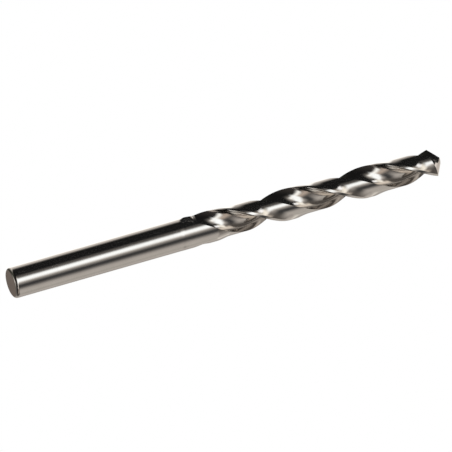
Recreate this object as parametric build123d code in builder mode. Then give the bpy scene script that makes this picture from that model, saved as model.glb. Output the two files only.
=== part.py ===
from build123d import *
from math import atan2, cos, degrees, radians, sin, sqrt, tan
import os

# Twist drill bit, jobber length, right-hand spiral.  Millimetres.
# The drill stands on the flat end of its shank: origin at the middle of that end, +Z to the point.

# Overall sizes
diameter = 8.0            # cutting diameter, across the margins
length = 117.0            # from the end of the shank to the chisel edge
flute_length = 71.0       # from the chisel edge back to where the flutes run out
shank_diameter = 7.96     # a little under the cutting diameter, so the shank follows through the hole
shank_chamfer = 0.4       # bevel round the end of the shank
shank_taper = 0.8         # short cone from the shank up to the body

# Flutes
flute_pitch = 43.1        # one turn of the spiral, a helix angle of about 30 degrees
web = 1.5                 # thickness of the core between the two flutes
heel_opening = 93.5       # degrees round the drill from the cutting side of a flute to its heel
web_pull = 3.0            # how far the back of the flute runs on along the web
heel_pull = 2.5           # how far it runs straight down from the heel
heel_corner = 62.0        # angle of the heel's edge, between the flute and the land
runout_length = 8.7       # stretch over which the grinding wheel leaves the flute

# Lands, the spiral ribs between the flutes
margin = 1.1              # width of the full-diameter strip beside the cutting side
clearance = 0.15          # how far the rest of the land lies below the margin
clearance_lead = 6.0      # stretch over which the land drops to its clearance

# Point, ground as two tilted cones
point_angle = 118.0       # between the two lips
cone_half_angle = 29.9    # of the cone that grinds each flank
cone_setback = 5.48       # from the drill's axis back to the cone's tip, across the axis
cone_roll = 5.84          # tilt of the flank about its lip, which gives the lip its clearance

radius = diameter / 2
shank_radius = shank_diameter / 2
land_radius = radius - clearance
cutter_radius = diameter  # every cutter reaches this far out, clear of the bar
cutter_top = length + radius
face_overrun = 1.15       # a cutter's face reaches this many times the corner's distance from the axis
heel_overrun = 0.3        # a cutter runs this far past the heel, clear of the land
back_lean = 30.0          # degrees by which its back leans out over the land
runout_lift = 0.02        # by which the cutter clears the bar at the end of the run-out
runout_slices = 7
leaf_tip = 0.05           # share of the run-out's length that is left out, where it no longer cuts

# Each flank's cone touches its whole lip.  The lip runs along +X, half the web ahead of the axis.
half_point = radians(point_angle / 2)
lip_slope = 1 / tan(half_point)
roll = radians(cone_roll)
cone_angle = radians(cone_half_angle)
lip_direction = Vector(sin(half_point), 0, -cos(half_point))
flank_normal = Vector(cos(half_point) * cos(roll), -sin(roll), sin(half_point) * cos(roll))
cone_axis = lip_direction * cos(cone_angle) - flank_normal * sin(cone_angle)


def chisel_height():
    """Height of the chisel edge over the cone's tip, below zero: where the flank crosses the axis."""
    across = cone_axis.X * cone_setback - cone_axis.Y * web / 2
    spread = cos(cone_angle) ** 2
    a = cone_axis.Z**2 - spread
    b = across * cone_axis.Z
    c = across**2 - spread * (cone_setback**2 + web**2 / 4)
    root = sqrt(b * b - a * c)
    return min(height for height in ((root - b) / a, (-root - b) / a) if across + height * cone_axis.Z > 0)


cone_tip = Vector(-cone_setback, web / 2, length - chisel_height())
lip_height = cone_tip.Z - cone_setback * lip_slope

# Heights along the drill
runout_end = length - flute_length
runout_start = runout_end + runout_length
relief_foot = runout_start - clearance_lead / 2
relief_full = runout_start + clearance_lead / 2


def station(height):
    """Plane across the drill at a height, turned with the spiral so that the lips' own turn is zero."""
    turn = 360 * (height - lip_height) / flute_pitch
    return Plane.XY.offset(height).rotated((0, 0, turn))


def face_point(along):
    """Point of the flute's cutting face in a station, for a place along the straight lip."""
    turn = 360 * along * lip_slope / flute_pitch
    return Vector(along, web / 2).rotate(Axis.Z, turn)


# The cutting face meets the margin at the corner, and the other side of the flute ends at the heel
corner = face_point(sqrt(radius**2 - web**2 / 4))
corner_angle = degrees(atan2(corner.Y, corner.X))
heel = Vector(radius, 0).rotate(Axis.Z, corner_angle + heel_opening)
outward = heel.normalized()
heel_way = outward.rotate(Axis.Z, heel_corner - 90)
heel_end = heel + heel_way * heel_overrun
web_side = Vector(0, web / 2)


def flute_outline(depth):
    """Closed outline of one flute's cutter in a station, for a share of the flute's full depth.

    The cutting side follows the straight lip, and the back is one curve from the web up to the heel.
    A shallower flute is the same outline pressed flat towards the tangent at the heel.
    """

    def pressed(*points):
        lift = runout_lift * (1 - depth)
        return [point - outward * ((point - heel).dot(outward) * (1 - depth) - lift) for point in points]

    reach = corner.length * face_overrun
    face = pressed(*[face_point(reach * share) for share in (1, 0.75, 0.5, 0.25, 0)])
    back = pressed(web_side, web_side - Vector(web_pull, 0), heel_end - heel_way * heel_pull, heel_end)
    lean = outward.rotate(Axis.Z, back_lean)
    half_gap = (face[0] - heel).get_angle(lean) / 2
    far_heel = heel + lean * cutter_radius
    shoulder = heel + lean.rotate(Axis.Z, -half_gap) * cutter_radius
    Spline(*face)
    Bezier(*back)
    Polyline(back[-1], far_heel, shoulder, face[0])


# One flute's cutter at full depth, from the run-out up past the point
with BuildPart() as flute:
    with BuildLine():
        spine = Line((0, 0, runout_start), (0, 0, cutter_top))
        guide = Helix(flute_pitch, cutter_top - runout_start, radius, center=(0, 0, runout_start))
    with BuildSketch(station(runout_start)):
        with BuildLine():
            flute_outline(1)
        make_face()
    sweep(path=spine, binormal=guide)

# The same cutter as it leaves the work: it rises smoothly to nothing, so the flute ends in a leaf
with BuildPart() as runout:
    for step in range(runout_slices + 1):
        share = 1 - (1 - leaf_tip) * step / runout_slices
        with BuildSketch(station(runout_end + runout_length * share)):
            with BuildLine():
                flute_outline(share**2 * (3 - 2 * share))
            make_face()
    loft()

# What stays at full diameter beside one flute: a spiral strip that stands on a slanted foot
strip_depth = clearance * 4
corner_overrun = 6.0      # degrees by which the strip runs on over the open flute
margin_back = Vector(1, 0).rotate(Axis.Z, corner_angle - degrees(margin / radius))
past_corner = Vector(1, 0).rotate(Axis.Z, corner_angle + corner_overrun)
slant = (margin_back + margin_back.rotate(Axis.Z, 90)) * strip_depth
with BuildPart() as margin_strip:
    with BuildLine():
        spine = Line((0, 0, relief_foot), (0, 0, cutter_top))
        guide = Helix(flute_pitch, cutter_top - relief_foot, radius, center=(0, 0, relief_foot))
    with BuildSketch(station(relief_foot)):
        with BuildLine():
            Polyline(
                margin_back * radius - slant,
                margin_back * radius + slant,
                past_corner * (radius + strip_depth),
                past_corner * (radius - strip_depth),
                close=True,
            )
        make_face()
    sweep(path=spine, binormal=guide)

# The relief of the lands: a thin ring round the body, less the two margins
with BuildPart() as relief:
    with BuildSketch(Plane.XZ):
        with BuildLine():
            Polyline(
                (radius + clearance, relief_foot),
                (land_radius, relief_full),
                (land_radius, cutter_top),
                (radius + clearance * 2, cutter_top),
                (radius + clearance * 2, relief_foot),
                close=True,
            )
        make_face()
    revolve(axis=Axis.Z)
    with PolarLocations(0, 2):
        add(margin_strip.part, mode=Mode.SUBTRACT)

# The drill itself: a ground bar, from which the lands, both flutes and both flanks are cut
with BuildPart() as drill_bit:
    with BuildSketch(Plane.XZ):
        with BuildLine():
            Polyline(
                (0, 0),
                (shank_radius - shank_chamfer, 0),
                (shank_radius, shank_chamfer),
                (shank_radius, runout_end - shank_taper),
                (radius, runout_end),
                (radius, cutter_top),
                (0, cutter_top),
                close=True,
            )
        make_face()
    revolve(axis=Axis.Z)
    add(relief.part, mode=Mode.SUBTRACT)
    with PolarLocations(0, 2):
        add(flute.part, mode=Mode.SUBTRACT)
        add(runout.part, mode=Mode.SUBTRACT)
    for turn in (0, 180):
        tip = cone_tip.rotate(Axis.Z, turn)
        axis = cone_axis.rotate(Axis.Z, turn)
        with Locations(Plane(origin=tip, z_dir=axis)):
            Cone(
                bottom_radius=0,
                top_radius=length * 2 * tan(cone_angle),
                height=length * 2,
                align=(Align.CENTER, Align.CENTER, Align.MIN),
                mode=Mode.INTERSECT,
            )

drill_bit.part.label = "drill_bit"
os.makedirs("parts", exist_ok=True)
export_step(drill_bit.part, "parts/drill_bit.step")
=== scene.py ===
import math

import bmesh
import bpy
import numpy as np
from mathutils import Matrix, Vector


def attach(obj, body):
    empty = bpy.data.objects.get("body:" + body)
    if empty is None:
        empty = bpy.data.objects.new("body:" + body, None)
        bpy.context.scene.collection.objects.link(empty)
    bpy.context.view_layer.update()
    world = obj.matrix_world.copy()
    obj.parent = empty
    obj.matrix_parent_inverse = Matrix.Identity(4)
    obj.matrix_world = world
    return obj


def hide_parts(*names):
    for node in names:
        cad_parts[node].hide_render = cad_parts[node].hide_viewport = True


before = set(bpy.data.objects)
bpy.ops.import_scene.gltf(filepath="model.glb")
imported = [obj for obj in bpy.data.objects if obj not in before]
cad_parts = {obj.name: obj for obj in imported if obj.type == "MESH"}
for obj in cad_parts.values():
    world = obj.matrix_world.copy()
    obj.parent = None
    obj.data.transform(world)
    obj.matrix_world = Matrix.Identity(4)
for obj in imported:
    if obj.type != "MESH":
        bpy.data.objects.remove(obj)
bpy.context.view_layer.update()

# ---------------------------------------------------------------- the drill bit
# A jobber twist drill, one piece of hardened high-speed steel left bright.  The bar is ground round,
# the two flutes are ground along a right-hand spiral, and the point is ground last, as two tilted
# cones.  It stands on the flat end of its shank.  Sizes are in millimetres.

BAR_RADIUS = 4.0
SHANK_RADIUS = 3.98
LAND_RADIUS = 3.6
LENGTH = 117.0
SHANK_TOP, BODY_FOOT = 45.2, 46.0       # the taper from the shank up to the body
EDGE_ROUND = 0.8                        # radius ground onto the shank's end
PITCH = 43.1                            # one turn of the flutes
WEB = 1.5                               # core between the flutes
HEEL_OPENING = math.radians(93.5)       # round the drill, from a flute's corner to its heel
HEEL_CORNER = math.radians(62.0)
WEB_PULL, HEEL_PULL = 3.0, 2.5          # how far the back runs on along the web, and from the heel
HEEL_OVERRUN = 0.3                      # a flute's section runs this far past the heel
RUNOUT = 5.6                            # stretch over which a flute leaves the bar
RUNOUT_LIFT = 0.02                      # by which its section clears the bar where it ends
RELIEF_FOOT, RELIEF_FULL = 54.7, 57.7   # where the lands drop below the margins
MARGIN, FOOT = 0.72, 2.5                # widths of a margin and of the hollow at its foot
HALF_POINT = math.radians(59.0)
CONE_ANGLE, CONE_ROLL, CONE_SETBACK = math.radians(29.9), math.radians(5.84), 5.48
LIP_SLOPE = 1 / math.tan(HALF_POINT)

lip_way = np.array([math.sin(HALF_POINT), 0, -math.cos(HALF_POINT)])
flank_normal = np.array(
    [
        math.cos(HALF_POINT) * math.cos(CONE_ROLL),
        -math.sin(CONE_ROLL),
        math.sin(HALF_POINT) * math.cos(CONE_ROLL),
    ]
)
cone_axis = lip_way * math.cos(CONE_ANGLE) - flank_normal * math.sin(CONE_ANGLE)


def below_cone_tip(x, y):
    """Height of a flank over its cone's tip, which is down the axis.

    The cone is where (offset . axis) squared = cos(half angle) squared x offset squared; the height
    is the root on the cone's own side, written so that it stays exact for a steep side.
    """
    dx, dy = x + CONE_SETBACK, y - WEB / 2
    along = dx * cone_axis[0] + dy * cone_axis[1]
    spread = math.cos(CONE_ANGLE) ** 2
    b = along * cone_axis[2]
    c = along**2 - spread * (dx**2 + dy**2)
    return c / (np.sqrt(b**2 - (cone_axis[2] ** 2 - spread) * c) - b)


TIP_HEIGHT = LENGTH - float(below_cone_tip(np.array(0.0), np.array(0.0)))
LIP_HEIGHT = TIP_HEIGHT - CONE_SETBACK * LIP_SLOPE


def flank(x, y):
    """Height of the first flank over a place (x, y) across the drill; the other is flank(-x, -y)."""
    return TIP_HEIGHT + below_cone_tip(x, y)


def turned(x, y, angle):
    """The place (x, y) turned about the drill's axis: x cos - y sin, x sin + y cos."""
    return x * np.cos(angle) - y * np.sin(angle), x * np.sin(angle) + y * np.cos(angle)


def spiral(z):
    """How far the flutes have turned at a height: one whole turn in each pitch, none at the lips."""
    return 2 * np.pi * (z - LIP_HEIGHT) / PITCH


corner_x = math.sqrt(BAR_RADIUS**2 - WEB**2 / 4)
CORNER = float(np.arctan2(WEB / 2, corner_x)) + 2 * math.pi * corner_x * LIP_SLOPE / PITCH
HEEL = CORNER + HEEL_OPENING
outward = np.array([math.cos(HEEL), math.sin(HEEL)])
heel = BAR_RADIUS * outward
heel_way = np.array(turned(*outward, HEEL_CORNER - math.pi / 2))
heel_end = heel + HEEL_OVERRUN * heel_way
web_side = np.array([0, WEB / 2])


def flute_wall(q):
    """Section of a flute across the drill, for q from 0 at the corner, 1 at the web, to 2 at the heel.

    The cutting side is the straight lip, each place turned by as much as the lip falls along it.  The
    back is one cubic Bezier curve, which leaves the web along it and meets the heel at its angle.
    """
    along = corner_x * (1 - np.minimum(q, 1))
    face = np.array(turned(along, WEB / 2, 2 * np.pi * along * LIP_SLOPE / PITCH))
    t = np.clip(q - 1, 0, None)
    pulls = [web_side, web_side - np.array([WEB_PULL, 0]), heel_end - heel_way * HEEL_PULL, heel_end]
    weights = [(1 - t) ** 3, 3 * t * (1 - t) ** 2, 3 * t**2 * (1 - t), t**3]
    back = sum(pull[:, None] * weight for pull, weight in zip(pulls, weights))
    return np.where(q < 1, face, back)


def flute_depth(z):
    """Share of the flute's full depth at a height: a smooth step over the run-out."""
    share = np.clip((z - BODY_FOOT) / RUNOUT, 0, 1)
    return share**2 * (3 - 2 * share)


def pressed_wall(q, z):
    """The flute's section at a height, pressed flat towards the tangent at the heel by its depth."""
    x, y = flute_wall(np.ravel(q)).reshape(2, *np.shape(q))
    shallow = 1 - flute_depth(z)
    past_heel = (x - heel[0]) * outward[0] + (y - heel[1]) * outward[1]
    inward = past_heel * shallow - RUNOUT_LIFT * shallow
    return x - outward[0] * inward, y - outward[1] * inward


def land_radius(z):
    """Radius of a land: the bar's, then a straight fall of 0.4 mm beside the start of the margins."""
    share = np.clip((z - RELIEF_FOOT) / (RELIEF_FULL - RELIEF_FOOT), 0, 1)
    return BAR_RADIUS - (BAR_RADIUS - LAND_RADIUS) * share


def bar_radius(z):
    """Radius of the bar: the shank's, and a short taper from it up to the body's."""
    share = np.clip((z - SHANK_TOP) / (BODY_FOOT - SHANK_TOP), 0, 1)
    return SHANK_RADIUS + (BAR_RADIUS - SHANK_RADIUS) * share


PAST_CORNER, Q_HEEL = -0.12, 2.0        # ends of the section's parameter q, for the search
SEARCH_STEPS, TOUCH = 6000, 1e-7


def wall_ends(z):
    """Where the wall crosses the bar on its cutting side and the land on its heel side, per height.

    Each crossing is found among even steps of q and then placed in a straight line between two of
    them.  The third result marks the heights at which the flute doesn't cut the bar yet.
    """
    q = np.linspace(PAST_CORNER, Q_HEEL, SEARCH_STEPS + 1)
    x, y = pressed_wall(np.broadcast_to(q, (len(z), len(q))), z[:, None])
    reach = np.hypot(x, y)
    rows = np.arange(len(z))
    inside = reach < BAR_RADIUS - TOUCH
    none = ~inside.any(axis=1)
    first = np.maximum(inside.argmax(axis=1), 1)
    depth = reach - BAR_RADIUS
    before, after = depth[rows, first - 1], depth[rows, first]
    start = q[first - 1] + (q[1] - q[0]) * before / (before - after)
    under = reach < land_radius(z)[:, None] - TOUCH
    last = len(q) - 1 - under[:, ::-1].argmax(axis=1)
    last = np.minimum(last, len(q) - 2)
    depth = reach - land_radius(z)[:, None]
    before, after = depth[rows, last], depth[rows, last + 1]
    end = q[last] + (q[1] - q[0]) * before / (before - after)
    return np.where(none, Q_HEEL, start), np.where(none, Q_HEEL, end), none


SETTLE_TURNS, HALVINGS, NEWTON_TURNS = 60, 50, 40   # of the three searches below


def wall_top(x, y):
    """Height at which the spiral line through a place of the section meets the point.

    The height is put back into the spiral's turn until it settles, under the lower of both flanks.
    """
    z = np.full(np.shape(x), LIP_HEIGHT)
    for _ in range(SETTLE_TURNS):
        px, py = turned(x, y, spiral(z))
        z = 0.5 * z + 0.5 * np.minimum(flank(px, py), flank(-px, -py))
    return z


def flank_gap(q):
    """Difference of the two flanks' heights at the top of the wall's place q; zero at the chisel."""
    x, y = flute_wall(np.array([q]))
    z = wall_top(x, y)
    px, py = turned(x, y, spiral(z))
    return float((flank(px, py) - flank(-px, -py))[0])


low, high = 0.7, 1.5                    # places q on either side of the chisel edge's end
for _ in range(HALVINGS):
    middle = (low + high) / 2
    if flank_gap(low) * flank_gap(middle) <= 0:
        high = middle
    else:
        low = middle
chisel_end = (low + high) / 2

LAND_STEPS, FOOT_STEPS, MARGIN_STEPS, WALL_STEPS = 24, 24, 12, 48
outer_steps = LAND_STEPS + FOOT_STEPS + MARGIN_STEPS
BODY_TOP = 112.0                        # from here up the rows close on the point
ROW = 0.35                              # spacing of the rows up the body

body_z = np.linspace(BODY_FOOT, BODY_TOP, int((BODY_TOP - BODY_FOOT) / ROW) + 1)
lead, trail, uncut = wall_ends(body_z)
lead_x, lead_y = pressed_wall(lead, body_z)
lead_angle = np.unwrap(np.arctan2(lead_y, lead_x))
trail_x, trail_y = pressed_wall(trail, body_z)
trail_angle = np.arctan2(trail_y, trail_x)
trail_angle = trail_angle + 2 * np.pi * (trail_angle < 0)
leaf_tip = (lead_angle[~uncut][0] + trail_angle[~uncut][0]) / 2
lead_angle[uncut] = trail_angle[uncut] = leaf_tip
full_lead, full_trail = lead[-1], trail[-1]
chisel_share = (chisel_end - full_lead) / (full_trail - full_lead)


def outer_band():
    """Land, foot and margin of one rib, from the other flute's heel round to this flute's corner.

    A grid of (height, place): the angle runs evenly over each band, the radius is the land's, rises
    over the foot with the square of the way across it, and is the bar's over the margin.
    """
    z = body_z[:, None]
    foot = CORNER - MARGIN / BAR_RADIUS
    foot_back = foot - FOOT / BAR_RADIUS
    t = np.linspace(0, 1, LAND_STEPS + 1)[None, :]
    start = (trail_angle - np.pi)[:, None]
    land = start + (foot_back - start) * t
    step = foot_back + (foot - foot_back) * np.linspace(0, 1, FOOT_STEPS + 1)[None, 1:]
    t = np.linspace(0, 1, MARGIN_STEPS + 1)[None, 1:]
    strip = foot + (lead_angle[:, None] - foot) * t
    rise = np.linspace(0, 1, FOOT_STEPS + 1)[None, 1:] ** 2
    ones = np.ones_like(z)
    angle = np.concatenate([land, step * ones, strip], axis=1)
    low_r = land_radius(z)
    r = np.concatenate(
        [low_r * np.ones_like(land), low_r + (BAR_RADIUS - low_r) * rise, BAR_RADIUS * np.ones_like(strip)],
        axis=1,
    )
    return r * np.cos(angle), r * np.sin(angle)


def wall_band():
    """The flute's wall as a grid of (height, place), with one column at the end of the chisel edge.

    No place is let outside the bar.  At the tip of the run-out this leaves rows so close to the bar's
    surface that some facets there are folded and cross one another.
    """
    middle = lead + (trail - lead) * chisel_share
    t = np.linspace(0, 1, WALL_STEPS + 1)[None, :]
    face = lead[:, None] + (middle - lead)[:, None] * t
    back = middle[:, None] + (trail - middle)[:, None] * t[:, 1:]
    x, y = pressed_wall(np.concatenate([face, back], axis=1), body_z[:, None])
    x[uncut], y[uncut] = BAR_RADIUS * math.cos(leaf_tip), BAR_RADIUS * math.sin(leaf_tip)
    keep = np.minimum(1, BAR_RADIUS / np.hypot(x, y))
    return x * keep, y * keep


TOP_ROWS = 14
surfaces = []


def lay(x, y, z):
    """Keeps one grid of points, and the same grid turned half round for the drill's other side."""
    surfaces.append(np.stack([x, y, z], axis=-1))
    surfaces.append(np.stack([-x, -y, z], axis=-1))


def stand(x, y):
    """Turns a band's sections into place, and carries its last one up the spiral to the point."""
    z = np.broadcast_to(body_z[:, None], x.shape)
    top = wall_top(x[-1], y[-1])
    t = np.linspace(0, 1, TOP_ROWS + 1)[1:, None]
    z = np.concatenate([z, BODY_TOP + (top - BODY_TOP) * t])
    x = np.concatenate([x, np.repeat(x[-1:], TOP_ROWS, axis=0)])
    y = np.concatenate([y, np.repeat(y[-1:], TOP_ROWS, axis=0)])
    x, y = turned(x, y, spiral(z))
    lay(x, y, z)
    return x[-1], y[-1]


rim = stand(*outer_band())
wall_edge = stand(*wall_band())


NUDGE, LEAST_SLOPE = 1e-4, 1e-6


def chisel_edge():
    """Where both flanks are equally high, between the ends of the two lips' webs.

    Places on the straight line between the ends are moved square to it until the heights agree.
    """
    end = np.array([wall_edge[0][WALL_STEPS], wall_edge[1][WALL_STEPS]])
    side = np.array([-end[1], end[0]]) / np.hypot(*end)
    t = np.linspace(1, -1, outer_steps + 1)
    off = np.zeros_like(t)

    def gap(s):
        px, py = end[0] * t + side[0] * s, end[1] * t + side[1] * s
        return flank(px, py) - flank(-px, -py)

    for _ in range(NEWTON_TURNS):
        slope = (gap(off + NUDGE) - gap(off - NUDGE)) / (2 * NUDGE)
        off = off - gap(off) / np.where(np.abs(slope) < LEAST_SLOPE, LEAST_SLOPE, slope)
    off[0] = off[-1] = 0
    return end[0] * t + side[0] * off, end[1] * t + side[1] * off


def flank_patch():
    """The first flank: a surface blended from its four edges, lifted onto the cone.

    The edges are the lip, the back of the other flute, the rib's rim and the chisel edge; a place is
    the sum of both pairs of opposite edges, each mixed straight across, less the mix of the corners.
    """
    lip = np.stack([wall_edge[0][: WALL_STEPS + 1], wall_edge[1][: WALL_STEPS + 1]])
    back = -np.stack([wall_edge[0][WALL_STEPS:], wall_edge[1][WALL_STEPS:]])[:, ::-1]
    outer = np.stack(rim)[:, ::-1]
    chisel = np.stack(chisel_edge())
    u = np.linspace(0, 1, WALL_STEPS + 1)[None, :, None]
    v = np.linspace(0, 1, outer_steps + 1)[None, None, :]
    across = (1 - v) * lip[:, :, None] + v * back[:, :, None]
    along = (1 - u) * outer[:, None, :] + u * chisel[:, None, :]
    corners = (1 - u) * (1 - v) * lip[:, :1, None] + u * (1 - v) * lip[:, -1:, None]
    corners = corners + (1 - u) * v * back[:, :1, None] + u * v * back[:, -1:, None]
    x, y = across + along - corners
    return x, y, flank(x, y)


lay(*flank_patch())

# The shank's columns go straight down from the foot of the body, round the ground edge and across
# the flat end
BEND_END, BEND_STEPS, DISC_STEPS = 80, 10, 8
foot_x, foot_y = outer_band()
foot_angle = np.arctan2(foot_y[0], foot_x[0]) + spiral(BODY_FOOT)
shank_z = np.array([BODY_FOOT, 45.8, 45.6, 45.4, SHANK_TOP, 45.0, 40, 30, 20, 10, 2, 1, EDGE_ROUND])
shank_r = bar_radius(shank_z)
bend = np.radians(np.linspace(0, BEND_END, BEND_STEPS + 1)[1:])
shank_z = np.concatenate([shank_z, EDGE_ROUND * (1 - np.sin(bend) / np.sin(bend[-1]))])
shank_r = np.concatenate([shank_r, SHANK_RADIUS - EDGE_ROUND * (1 - np.cos(bend))])
disc_r = shank_r[-1] * np.linspace(1, 0, DISC_STEPS + 1)[1:]
shank_z = np.concatenate([shank_z, np.zeros_like(disc_r)])
shank_r = np.concatenate([shank_r, disc_r])
lay(
    shank_r[:, None] * np.cos(foot_angle)[None, :],
    shank_r[:, None] * np.sin(foot_angle)[None, :],
    np.broadcast_to(shank_z[:, None], (len(shank_z), len(foot_angle))),
)

WELD, SHARP = 4e-6, math.radians(24)    # metres; least angle of an edge that is shown sharp
MILLIMETRE = 0.001
points, quads, base = [], [], 0
for grid in surfaces:
    rows, columns = grid.shape[:2]
    index = base + np.arange(rows * columns).reshape(rows, columns)
    quads.append(
        np.stack([index[:-1, :-1], index[:-1, 1:], index[1:, 1:], index[1:, :-1]], axis=-1).reshape(-1, 4)
    )
    points.append(grid.reshape(-1, 3))
    base += rows * columns
points = np.concatenate(points) * MILLIMETRE
quads = np.concatenate(quads)

drill_mesh = bpy.data.meshes.new("drill")
drill_mesh.from_pydata(points, [], quads)
shell = bmesh.new()
shell.from_mesh(drill_mesh)
bmesh.ops.remove_doubles(shell, verts=shell.verts, dist=WELD)
bmesh.ops.recalc_face_normals(shell, faces=shell.faces)
shell.to_mesh(drill_mesh)
shell.free()
drill_mesh.polygons.foreach_set("use_smooth", np.ones(len(drill_mesh.polygons), bool))
drill_mesh.set_sharp_from_angle(angle=SHARP)
drill = bpy.data.objects.new("drill", drill_mesh)
bpy.context.scene.collection.objects.link(drill)


class Shade:
    """One output of a shader tree.  A sum written on it adds the Math nodes for that sum."""

    def __init__(self, tree, output=None):
        self.tree, self.output = tree, output

    def node(self, kind, settings=None, inputs=None, output=0):
        """Adds a node: its settings, a ramp's stops among them, and then its sockets."""
        made = self.tree.nodes.new(kind)
        for name, value in (settings or {}).items():
            if name == "stops":
                stops = made.color_ramp.elements
                stops.remove(stops[1])
                for number, (place, shade) in enumerate(value):
                    stop = stops.new(place) if number else stops[0]
                    stop.position = place
                    stop.color = shade
            else:
                setattr(made, name, value)
        for name, value in (inputs or {}).items():
            if isinstance(value, Shade):
                self.tree.links.new(value.output, made.inputs[name])
            else:
                made.inputs[name].default_value = value
        return Shade(self.tree, made.outputs[output] if made.outputs else None)

    def math(self, operation, *values):
        return self.node("ShaderNodeMath", {"operation": operation}, dict(enumerate(values)))

    def __add__(self, other):
        return self.math("ADD", self, other)

    def __radd__(self, other):
        return self.math("ADD", other, self)

    def __sub__(self, other):
        return self.math("SUBTRACT", self, other)

    def __mul__(self, other):
        return self.math("MULTIPLY", self, other)

    def __rmul__(self, other):
        return self.math("MULTIPLY", other, self)


# Bright steel.  The marks of grinding differ on the bar and inside the flutes, which the distance
# from the axis tells apart.
FLUTE_SIDE, BAR_SIDE = 0.00345, 0.00355   # metres from the axis, between which the marks change
steel = bpy.data.materials.new("bright_ground_steel")
steel.use_nodes = True
steel.node_tree.nodes.clear()
start = Shade(steel.node_tree)
place = start.node("ShaderNodeTexCoord", output="Object")
parts = [start.node("ShaderNodeSeparateXYZ", inputs={0: place}, output=number) for number in range(3)]
reach = start.math("SQRT", parts[0] * parts[0] + parts[1] * parts[1])
in_flute = start.node(
    "ShaderNodeMapRange", inputs={"Value": reach, "From Min": BAR_SIDE, "From Max": FLUTE_SIDE}
)

# Rings from turning under the wheel, on the bar; lines along the spiral, in the flutes
rings = start.node("ShaderNodeMapping", inputs={"Vector": place, "Scale": (200, 200, 9000)})
ring_marks = start.node("ShaderNodeTexNoise", inputs={"Vector": rings, "Scale": 1.0, "Detail": 3.0})
unwound = start.node(
    "ShaderNodeVectorRotate",
    {"rotation_type": "Z_AXIS"},
    {"Vector": place, "Angle": parts[2] * (-2000 * math.pi / PITCH)},
)
lines = start.node("ShaderNodeMapping", inputs={"Vector": unwound, "Scale": (7000, 7000, 150)})
line_marks = start.node("ShaderNodeTexNoise", inputs={"Vector": lines, "Scale": 1.0, "Detail": 3.0})
marks = ring_marks + in_flute * (line_marks - ring_marks)

# Handling: a few faint scratches, mostly lengthwise, and the cloudy bloom of oiled steel
streaks = start.node("ShaderNodeMapping", inputs={"Vector": place, "Scale": (1900, 1900, 110)})
streak = start.node("ShaderNodeTexNoise", inputs={"Vector": streaks, "Scale": 1.0, "Detail": 2.0})
scratch = start.node(
    "ShaderNodeMapRange",
    {"interpolation_type": "SMOOTHSTEP"},
    {"Value": streak, "From Min": 0.66, "From Max": 0.72},
)
cloud = start.node("ShaderNodeTexNoise", inputs={"Vector": place, "Scale": 260.0, "Detail": 4.0})
rough = 0.035 + 0.05 * cloud + 0.02 * marks + 0.10 * scratch + 0.02 * in_flute
tint = start.node(
    "ShaderNodeValToRGB",
    {"stops": [(0.3, (0.70, 0.675, 0.65, 1)), (0.7, (0.76, 0.735, 0.71, 1))]},
    {"Fac": cloud},
)
bump = start.node("ShaderNodeBump", inputs={"Strength": 0.05, "Distance": 0.0001, "Height": marks})
skin = start.node(
    "ShaderNodeBsdfPrincipled",
    inputs={"Base Color": tint, "Metallic": 1.0, "Roughness": rough, "Normal": bump},
)
start.node("ShaderNodeOutputMaterial", inputs={"Surface": skin})
drill_mesh.materials.append(steel)

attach(drill, "root")
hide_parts("drill_bit")

# ---------------------------------------------------------------- the stage
# A pale floor just under the shank's end.  It is clear from below, so that the drill can be looked
# at from there as well, and the steel doesn't mirror it.
FLOOR_HALF, FLOOR_DROP = 3.0, 0.00003
floor_mesh = bpy.data.meshes.new("floor")
floor_mesh.from_pydata(
    [(x * FLOOR_HALF, y * FLOOR_HALF, -FLOOR_DROP) for x, y in ((-1, -1), (1, -1), (1, 1), (-1, 1))],
    [],
    [(0, 1, 2, 3)],
)
floor = bpy.data.objects.new("floor", floor_mesh)
bpy.context.scene.collection.objects.link(floor)
pale = bpy.data.materials.new("pale_floor")
pale.use_nodes = True
pale.node_tree.nodes.clear()
start = Shade(pale.node_tree)
facing = start.node("ShaderNodeNewGeometry", output="Backfacing")
paint = start.node("ShaderNodeBsdfDiffuse", inputs={"Color": (0.9, 0.9, 0.9, 1)})
clear = start.node("ShaderNodeBsdfTransparent")
shown = start.node("ShaderNodeMixShader", inputs={0: facing, 1: paint, 2: clear})
start.node("ShaderNodeOutputMaterial", inputs={"Surface": shown})
floor_mesh.materials.append(pale)
floor.visible_glossy = False

# Camera: 17 degrees below the drill's middle, 37.5 degrees round it, rolled so that the drill runs
# up to the right, from far enough away that its sides stay parallel
TILT, ROLL, FACING = math.radians(17.324), math.radians(15.95), math.radians(307.53)
out = Vector((math.cos(FACING), math.sin(FACING), 0))
up = Vector((math.sin(FACING), -math.cos(FACING), 0))
axis = Vector((0, 0, 1))
lengthways = axis * math.cos(TILT) + out * math.sin(TILT)
back_way = out * math.cos(TILT) - axis * math.sin(TILT)
right_way = lengthways * math.cos(ROLL) - up * math.sin(ROLL)
up_way = lengthways * math.sin(ROLL) + up * math.cos(ROLL)
FRAME_WIDTH, DISTANCE = 0.1130, 4.6
aim = Vector((0, 0, 0.0584)) - up_way * 0.00102 + right_way * 0.000015
camera = bpy.data.objects.new("camera", bpy.data.cameras.new("camera"))
camera.data.sensor_width = 36
camera.data.lens = 36 * DISTANCE / FRAME_WIDTH
camera.data.clip_start, camera.data.clip_end = 0.1, 50
turn = Matrix((right_way, up_way, back_way)).transposed().to_4x4()
camera.matrix_world = Matrix.Translation(aim + back_way * DISTANCE) @ turn
bpy.context.scene.collection.objects.link(camera)
bpy.context.scene.camera = camera

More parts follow.
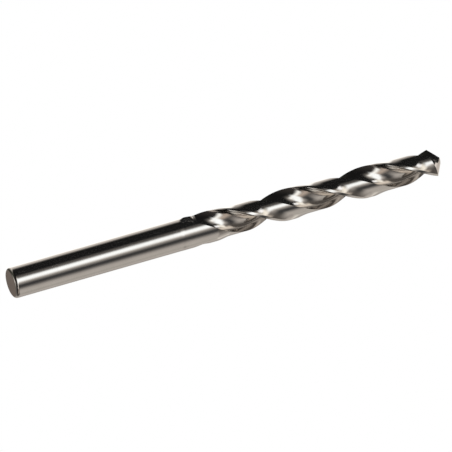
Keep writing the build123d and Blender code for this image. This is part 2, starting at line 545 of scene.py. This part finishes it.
# Light: everything but reflections sees plain white.  Reflections see a warm backdrop with bright,
# grey and black soft-edged panels hung in front of it, fixed in space.  The panels'
# numbers come from a fit and from later changes, so they follow no simple plan.
world = bpy.data.worlds.new("studio")
bpy.context.scene.world = world
world.use_nodes = True
world.node_tree.nodes.clear()
start = Shade(world.node_tree)
way = start.node("ShaderNodeTexCoord", output="Generated")


def along(direction):
    return start.node(
        "ShaderNodeVectorMath",
        {"operation": "DOT_PRODUCT"},
        {0: way, 1: tuple(direction)},
        output="Value",
    )


round_way = start.math("ARCTAN2", along(up), along(out)) * (180 / math.pi)
height = start.math("ARCSINE", along(axis)) * (180 / math.pi)


def panel(behind, across, above, lean, half_width, half_height, soft, colour):
    """Hangs a soft-edged panel in front of what is behind it; angles in degrees, from the drill."""
    aside = start.math("WRAP", round_way - across, 180.0, -180.0)
    lift = height - above
    cos, sin = math.cos(math.radians(lean)), math.sin(math.radians(lean))
    shown = 1.0
    reaches = ((aside * cos + lift * sin, half_width), (lift * cos - aside * sin, half_height))
    for way_over, half in reaches:
        spread = min(soft, half)
        distance = start.math("ABSOLUTE", way_over)
        edge = start.node(
            "ShaderNodeMapRange",
            {"interpolation_type": "SMOOTHSTEP"},
            {"Value": distance, "From Min": half + spread, "From Max": half - spread},
        )
        shown = edge * shown
    return start.node(
        "ShaderNodeMix", {"data_type": "RGBA"}, {0: shown, 6: behind, 7: (*colour, 1)}, output=2
    )


BACKDROP = (0.97, 0.90, 0.83)
# Each row: across, above, lean, half width, half height, soft edge, all in degrees, and the colour.
# Later rows hang in front of earlier ones.
PANELS = [
    (80, 60.0, 5, 74.0, 44.0, 12.0, 0.02, 0.02, 0.02),
    (-140, 25.5, -12, 53.5, 3.0, 9.6, 1.45, 1.37, 1.25),
    (60, -7.3, -26, 35.2, 111.4, 14.0, 0.01, 0.01, 0.01),
    (1, -31.4, -3, 79.5, 27.8, 16.9, 0.01, 0.01, 0.01),
    (-40, 17.0, 4, 26.0, 28.0, 23.1, 0.05, 0.05, 0.05),
    (-48, 50.3, -1, 49.7, 24.3, 10.7, 0.09, 0.08, 0.07),
    (-126, 70.0, 24, 50.0, 34.0, 9.4, 0.32, 0.27, 0.23),
    (124, 62.0, 0, 42.0, 28.0, 6.0, 0.02, 0.02, 0.02),
    (-68, -67.4, -35, 95.2, 59.7, 30.0, 0.045, 0.04, 0.037),
    (131, -41.2, 26, 74.6, 31.7, 22.1, 0.05, 0.05, 0.04),
    (9, 41.5, 1, 37.9, 6.0, 8.0, 0.89, 0.79, 0.68),
    (-48, -9.6, 10, 56.3, 5.8, 23.9, 0.56, 0.47, 0.40),
    (-18, -10.8, 16, 40.5, 4.0, 6.0, 1.31, 1.31, 1.26),
    (0, 6.8, 46, 19.6, 12.0, 7.0, 1.35, 1.40, 1.41),
    (11, 30.5, -17, 15.2, 4.9, 6.0, 1.26, 1.20, 1.07),
    (30, 28.5, -8, 9.0, 4.0, 3.0, 1.36, 1.36, 1.36),
    (-152, 17.0, 0, 20.0, 28.0, 10.0, 0.44, 0.41, 0.38),
    (160, 14.0, 0, 22.0, 14.0, 8.0, 1.30, 1.28, 1.24),
    (180, -17.0, 0, 16.0, 9.0, 4.0, 0.18, 0.15, 0.13),
]
surroundings = (*BACKDROP, 1)
for row in PANELS:
    surroundings = panel(surroundings, *row[:6], row[6:])
glossy = start.node("ShaderNodeLightPath", output="Is Glossy Ray")
soft = start.node("ShaderNodeBackground", inputs={"Color": (1, 1, 1, 1), "Strength": 1.0})
lit = start.node("ShaderNodeBackground", inputs={"Color": surroundings, "Strength": 1.0})
sky = start.node("ShaderNodeMixShader", inputs={0: glossy, 1: soft, 2: lit})
start.node("ShaderNodeOutputWorld", inputs={"Surface": sky})
bpy.context.scene.view_settings.view_transform = "Standard"
